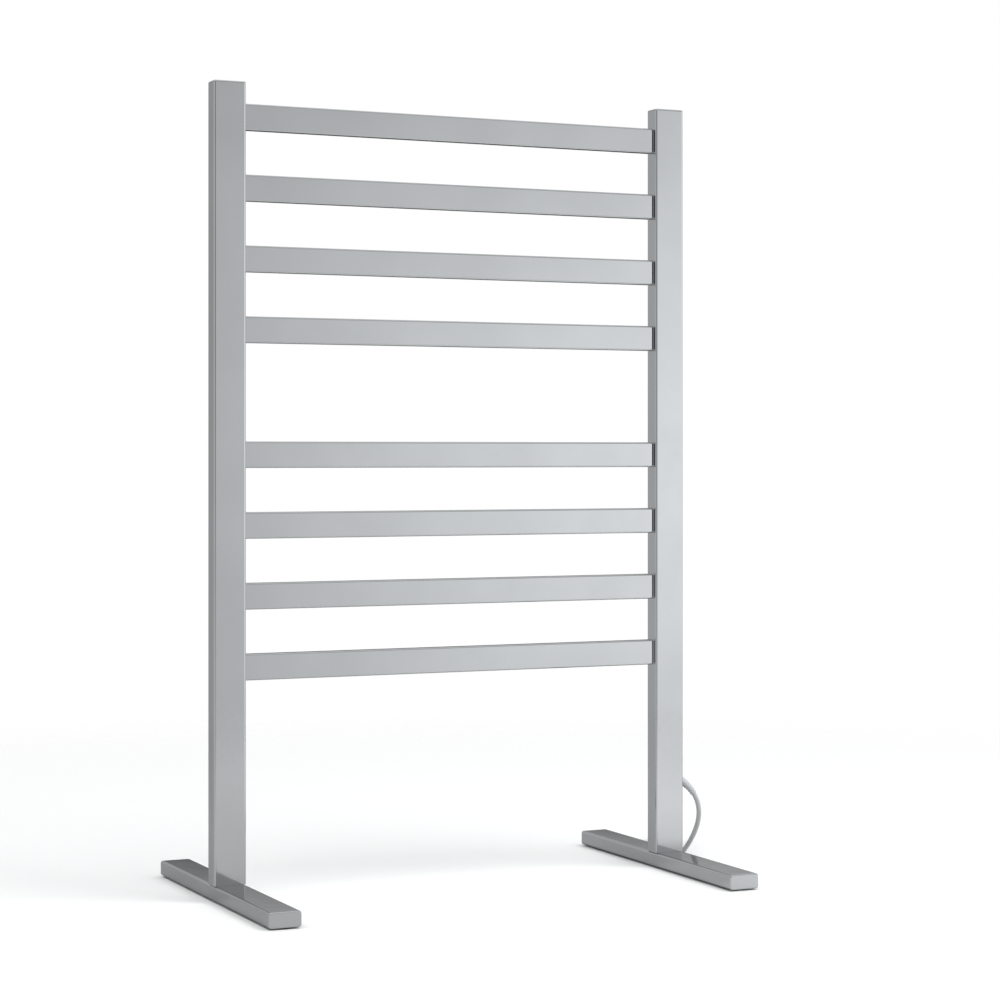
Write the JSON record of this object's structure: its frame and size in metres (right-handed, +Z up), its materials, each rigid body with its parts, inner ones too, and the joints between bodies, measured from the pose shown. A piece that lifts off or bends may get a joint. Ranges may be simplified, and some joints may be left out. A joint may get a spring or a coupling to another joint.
{
  "type": "towel warmer rack",
  "caption": "Freestanding electric towel warmer with flat heated bars in two groups between rectangular uprights on low box feet.",
  "frame": {"origin": "on the floor, midway between the two uprights and between the front and rear ends of the feet", "axes": "+X to the viewer's right along the bars, +Y to the rear, +Z up along the uprights"},
  "size_m": [0.6904, 0.38, 0.923],
  "materials": {
    "polished_steel": "polished stainless steel, close to a mirror",
    "rubber_pad": "matt moulded rubber",
    "zinc_steel": "zinc-plated steel",
    "brass": "plain stamped brass",
    "cord_vinyl": "light grey flexible vinyl, slightly satin",
    "black_plastic": "moulded nylon, fine matt texture",
    "white_plastic": "moulded nylon",
    "heater_sheath": "silicone rubber sheath",
    "earth_vinyl": "green wire insulation"
  },
  "bodies": {
    "rack": {"left_upright": "polished_steel", "right_upright": "polished_steel", "bar_1": "polished_steel", "bar_2": "polished_steel", "bar_3": "polished_steel", "bar_4": "polished_steel", "bar_5": "polished_steel", "bar_6": "polished_steel", "bar_7": "polished_steel", "bar_8": "polished_steel", "left_top_cap": "polished_steel", "right_top_cap": "polished_steel", "left_foot": "polished_steel", "right_foot": "polished_steel", "left_foot_front_cap": "polished_steel", "left_foot_rear_cap": "polished_steel", "right_foot_front_cap": "polished_steel", "right_foot_rear_cap": "polished_steel", "left_foot_front_pad": "rubber_pad", "left_foot_rear_pad": "rubber_pad", "right_foot_front_pad": "rubber_pad", "right_foot_rear_pad": "rubber_pad", "left_base_plug": "zinc_steel", "right_base_plug": "zinc_steel", "left_foot_bolt_1": "zinc_steel", "left_foot_bolt_2": "zinc_steel", "right_foot_bolt_1": "zinc_steel", "right_foot_bolt_2": "zinc_steel", "earth_screw": "zinc_steel", "earth_tag": "brass", "switch_supply_tab": "brass", "switch_load_tab": "brass", "plug_line_blade": "brass", "plug_neutral_blade": "brass", "plug_earth_pin": "brass", "cord_gland": "cord_vinyl", "cord_strain_relief": "cord_vinyl", "mains_cord": "cord_vinyl", "cord_hank": "cord_vinyl", "cord_tail": "cord_vinyl", "plug_body": "cord_vinyl", "switch_housing": "black_plastic", "thermal_cutout": "black_plastic", "hank_tie": "black_plastic", "switch_supply_wire": "black_plastic", "switch_load_wire": "black_plastic", "heater_harness": "white_plastic", "terminal_block": "white_plastic", "heater_1": "heater_sheath", "heater_2": "heater_sheath", "heater_3": "heater_sheath", "heater_4": "heater_sheath", "heater_5": "heater_sheath", "heater_6": "heater_sheath", "heater_7": "heater_sheath", "heater_8": "heater_sheath", "earth_wire": "earth_vinyl"},
    "rocker": {"switch_rocker": "black_plastic"}
  },
  "joints": [
    {"name": "rocker_tilt", "type": "hinge", "parent": "rack", "child": "rocker", "pos_m": [0.281, 0.01025, 0.153], "axis": [1, 0, 0], "range_deg": [0, 16]}
  ]
}
